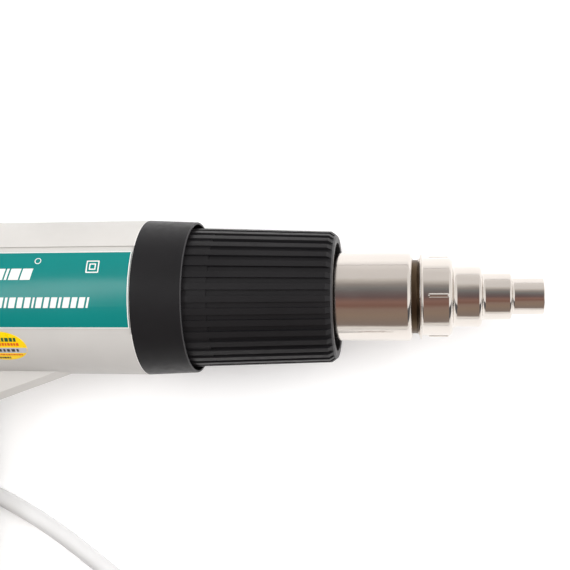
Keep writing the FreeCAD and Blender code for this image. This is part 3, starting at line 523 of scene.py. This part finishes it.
def oval_strip(s0, s1):
    """The part of the sticker's oval, a little inside its edge, between two lines along the barrel."""
    def half_length(s):
        return OVAL_INSET * STICKER_HALF_LENGTH * math.sqrt(max(0, 1 - (s / STICKER_HALF_WIDTH) ** 2))

    levels = [s0 + (s1 - s0) * i / OVAL_STEPS for i in range(OVAL_STEPS + 1)]
    right = [(STICKER_X + half_length(s), s) for s in levels]
    left = [(STICKER_X - half_length(s), s) for s in reversed(levels)]
    return right + left


def ink(name, color):
    return moulded(name, color, 0.4, grain=0.5, depth=0.002, spread=0.02)


def make_label_prints():
    """On each label: a border, a double square, a small ring, and rows of wide and narrow bars."""
    white = ink("white_ink", (0.80, 0.79, 0.76))
    front = (LABEL_HIGH.x - BACK_X) / MM
    back = (LABEL_LOW.x - BACK_X) / MM
    edge = LABEL_HALF_WIDTH
    # rings: x from and to, s from and to, width of the line, corner; rows: the same extents, then bars
    shapes = [ring_shape(back + 0.05, front - 0.05, -edge, edge, 0.38, 0.5),
              ring_shape(-18.4, -13.1, 6.4, 11.7, 0.45, 0.3),
              ring_shape(-17.1, -14.4, 7.7, 10.4, 0.45, 0.2),
              ring_shape(-40.3, -37.6, 10.4, 13.1, 0.3, 1.34)]
    shapes += bar_row(-74.2, -38.3, 3.7, 8.4, (4.4, 1.0, 4.2, 4.2), 0.75, SLANT)
    shapes += bar_row(-84, -16, -7.6, -3.4, (2.4, 2.0, 2.4, 1.0, 2.6, 2.2, 2.4, 0.8), 0.85, SLANT)
    printed("right_print", shapes, LABEL_RADIUS, LABEL_TURN, white)
    printed("left_print", shapes, LABEL_RADIUS, LEFT_LABEL_TURN, white, side=-1)


def make_sticker_prints():
    """A silver band and rows of bars on the oval sticker."""
    def row(reach, s0, s1, widths, gap):
        return bar_row(STICKER_X - reach, STICKER_X + reach, s0, s1, widths, gap)

    marks = (("sticker_band", (0.50, 0.50, 0.55), [oval_strip(-2.95, -0.1)]),
             ("sticker_green", (0.01, 0.09, 0.04), row(6.6, 3.1, 4.9, (1.3, 1.0, 1.5), 0.45)),
             ("sticker_orange", (0.75, 0.13, 0.005), row(7.4, 1.0, 2.4, (0.9, 0.7, 1.1), 0.35)
              + row(7.6, -4.4, -3.6, (1.0, 0.6), 0.3)),
             ("sticker_dark", (0.03, 0.03, 0.03), row(8.0, -2.2, -0.75, (1.5, 0.9, 1.2), 0.7)
              + row(3.0, -6.4, -5.4, (0.8, 0.5, 1.0), 0.3)))
    for name, color, shapes in marks:
        lift = 0 if name == "sticker_band" else BAND_STEP
        printed(name, shapes, STICKER_RADIUS + lift, STICKER_TURN, ink(name, color))


# ---------------------------------------------------------------- tie round the coiled cord
TIE_ANGLE = math.radians(200)
TIE_HALF_WIDTH = 4.0
TIE_THICKNESS = 0.8
TIE_REACH = 3.9                          # from the centre of an outer turn to the strap
TIE_CORNER_INNER, TIE_CORNER_OUTER = 3.6, 4.2
TIE_FLOOR_GAP = 0.05


def make_cord_tie(finishes):
    """A hook-and-loop strap round the bundle of turns."""
    low, high = COIL_INNER - TIE_REACH, COIL_OUTER + TIE_REACH
    top = COIL_HIGH + TIE_REACH
    inner = rounded_box(low, high, TIE_THICKNESS, top, TIE_CORNER_INNER)
    outer = rounded_box(low - TIE_THICKNESS, high + TIE_THICKNESS, TIE_FLOOR_GAP, top + TIE_THICKNESS,
                        TIE_CORNER_OUTER)
    out = Vector((math.cos(TIE_ANGLE), math.sin(TIE_ANGLE), 0))
    along = Vector((-out.y, out.x, 0))
    mesh = bmesh.new()

    def loop(outline, side):
        points = [out * r + along * side * TIE_HALF_WIDTH + Vector((0, 0, z)) for r, z in outline]
        return [mesh.verts.new(beside(COIL_CENTRE[0] + p.x, COIL_CENTRE[1] + p.y, p.z)) for p in points]

    loops = [loop(outer, -1), loop(outer, 1), loop(inner, 1), loop(inner, -1)]
    count = len(inner)
    for first, second in zip(loops, loops[1:] + loops[:1]):
        for i in range(count):
            j = (i + 1) % count
            mesh.faces.new((first[i], first[j], second[j], second[i]))
    add_piece("cord_tie", mesh, finishes["black_plastic"])


# ---------------------------------------------------------------- light and table
# stops of the studio's bands: the place of each in a half turn round the barrel, and its light
SKY = ((0.0, (1.0, 0.97, 0.955)), (0.08, (0.90, 0.87, 0.855)), (0.22, (0.87, 0.84, 0.825)),
       (0.25, (0.72, 0.69, 0.65)), (0.319, (0.37, 0.34, 0.325)), (0.374, (0.249, 0.247, 0.246)),
       (0.43, (0.197, 0.171, 0.172)), (0.5, (0.18, 0.128, 0.128)), (0.57, (0.31, 0.18, 0.149)),
       (0.626, (0.263, 0.145, 0.115)), (0.68, (0.336, 0.238, 0.195)), (0.767, (0.346, 0.256, 0.2)),
       (0.94, (0.288, 0.238, 0.213)), (0.975, (1.05, 1.02, 0.98)), (1.0, (1.1, 1.07, 1.03)))
SKY_BEHIND = ((0.0, (0.5, 0.5, 0.5)), (0.2, (0.3, 0.3, 0.3)), (0.4, (0.16, 0.16, 0.17)),
              (0.6, (0.1, 0.1, 0.1)), (0.9, (0.12, 0.12, 0.12)), (1.0, (0.6, 0.6, 0.6)))
SKY_FRONT = ((0.0, (1.0, 0.98, 0.96)), (0.25, (1.0, 0.98, 0.96)), (0.65, (1.25, 1.22, 1.2)),
             (0.69, (0.11, 0.11, 0.12)), (0.88, (0.11, 0.11, 0.12)), (0.93, (1.1, 1.07, 1.03)),
             (1.0, (1.1, 1.07, 1.03)))
# X of a unit direction, where the front's and the back's own bands start and where they hold alone
FRONT_STARTS, FRONT_HOLDS = 0.2, 0.34
BEHIND_STARTS, BEHIND_HOLDS = -0.12, -0.24


def sky_ramp(graph, fac, stops):
    """The light of a set of bands at a place in the half turn."""
    ramp = graph.node("ShaderNodeValToRGB")
    points = ramp.color_ramp.elements
    while len(points) < len(stops):
        points.new(0.5)
    for point, (position, color) in zip(points, stops):
        point.position = position
        point.color = (*color, 1)
    graph.link(fac, ramp.inputs["Fac"])
    return ramp.outputs["Color"]


def make_world():
    """A studio seen as bands round the barrel's axis: 0 is the horizon at +Y, 0.5 straight up.
    More than about 20 degrees forwards or 14 degrees backwards, other bands hold."""
    world = bpy.data.worlds.new("studio")
    bpy.context.scene.world = world
    world.use_nodes = True
    graph = Graph(world.node_tree)
    parts = graph.node("ShaderNodeSeparateXYZ")
    graph.link(graph.node("ShaderNodeTexCoord").outputs["Generated"], parts.inputs[0])
    around = graph.calculate("ARCTAN2", parts.outputs["Z"], parts.outputs["Y"])
    band = graph.calculate("DIVIDE", around, math.pi)
    color = sky_ramp(graph, band, SKY)
    for stops, starts, holds in ((SKY_FRONT, FRONT_STARTS, FRONT_HOLDS),
                                 (SKY_BEHIND, BEHIND_STARTS, BEHIND_HOLDS)):
        share = graph.map_range(parts.outputs["X"], starts, holds, 0, 1, interpolation_type="SMOOTHSTEP")
        mix = graph.node("ShaderNodeMix", data_type="RGBA")
        graph.link(share, mix.inputs["Factor"])
        graph.link(color, mix.inputs["A"])
        graph.link(sky_ramp(graph, band, stops), mix.inputs["B"])
        color = mix.outputs["Result"]
    background = graph.tree.nodes["Background"]
    graph.link(color, background.inputs["Color"])
    background.inputs["Strength"].default_value = 1.0


def soft_light(name, place, target, size, power, mirrored=False):
    """An area light; unless it is mirrored, it shines on matt surfaces and not in polished ones."""
    light = bpy.data.lights.new(name, "AREA")
    light.shape = "RECTANGLE"
    light.size, light.size_y = size
    light.energy = power
    holder = placed(name, light)
    holder.location = place
    holder.rotation_euler = (Vector(target) - Vector(place)).to_track_quat("-Z", "Y").to_euler()
    holder.visible_glossy = mirrored


def make_lights():
    """Two soft lights for the matt surfaces, and a narrow one that the polished metal mirrors.
    Places are in metres from the floor under the collar."""
    middle = (BACK_X, AXIS_Y, 0)
    soft_light("overhead_light", (BACK_X + 0.1, AXIS_Y + 0.3, 1.25), middle, (1.7, 1.4), 12.5)
    soft_light("front_light", (BACK_X + 1.05, AXIS_Y + 0.1, 0.85), middle, (1.2, 1.0), 8)
    soft_light("strip_light", (BACK_X - 0.45, AXIS_Y + 0.15, 1.0), (BACK_X - 0.1, AXIS_Y, 0),
               (0.7, 0.26), 2.2, mirrored=True)


TABLE_REACH = 3.0
TABLE_GLOW = 0.16                        # lifts the floor's shade under and around the tool
GLOW_FADES, GLOW_ENDS = 0.12, 0.3        # metres from the barrel, on the side away from the grip


def make_floor():
    mesh = bpy.data.meshes.new("table_top")
    corners = [(x * TABLE_REACH, y * TABLE_REACH, 0) for x, y in ((-1, -1), (1, -1), (1, 1), (-1, 1))]
    mesh.from_pydata(corners, [], [(0, 1, 2, 3)])
    table = placed("table_top", mesh)
    finish = Finish("table_white", (0.9, 0.9, 0.9), 0.8)
    parts = finish.node("ShaderNodeSeparateXYZ")
    finish.link(finish.place, parts.inputs[0])
    glow = finish.map_range(parts.outputs["Y"], AXIS_Y + GLOW_FADES, AXIS_Y + GLOW_ENDS, TABLE_GLOW, 0,
                            interpolation_type="SMOOTHSTEP")
    finish.shader.inputs["Emission Color"].default_value = (1, 1, 1, 1)
    finish.link(glow, finish.shader.inputs["Emission Strength"])
    mesh.materials.append(finish.material)


make_camera()
cord = make_cord()
finishes = make_materials()
dress_nodes(finishes)
cord.data.materials.append(finishes["cord_grey"].material)
make_label_prints()
make_sticker_prints()
make_cord_tie(finishes)
make_world()
make_lights()
make_floor()
bpy.context.scene.view_settings.view_transform = "Standard"
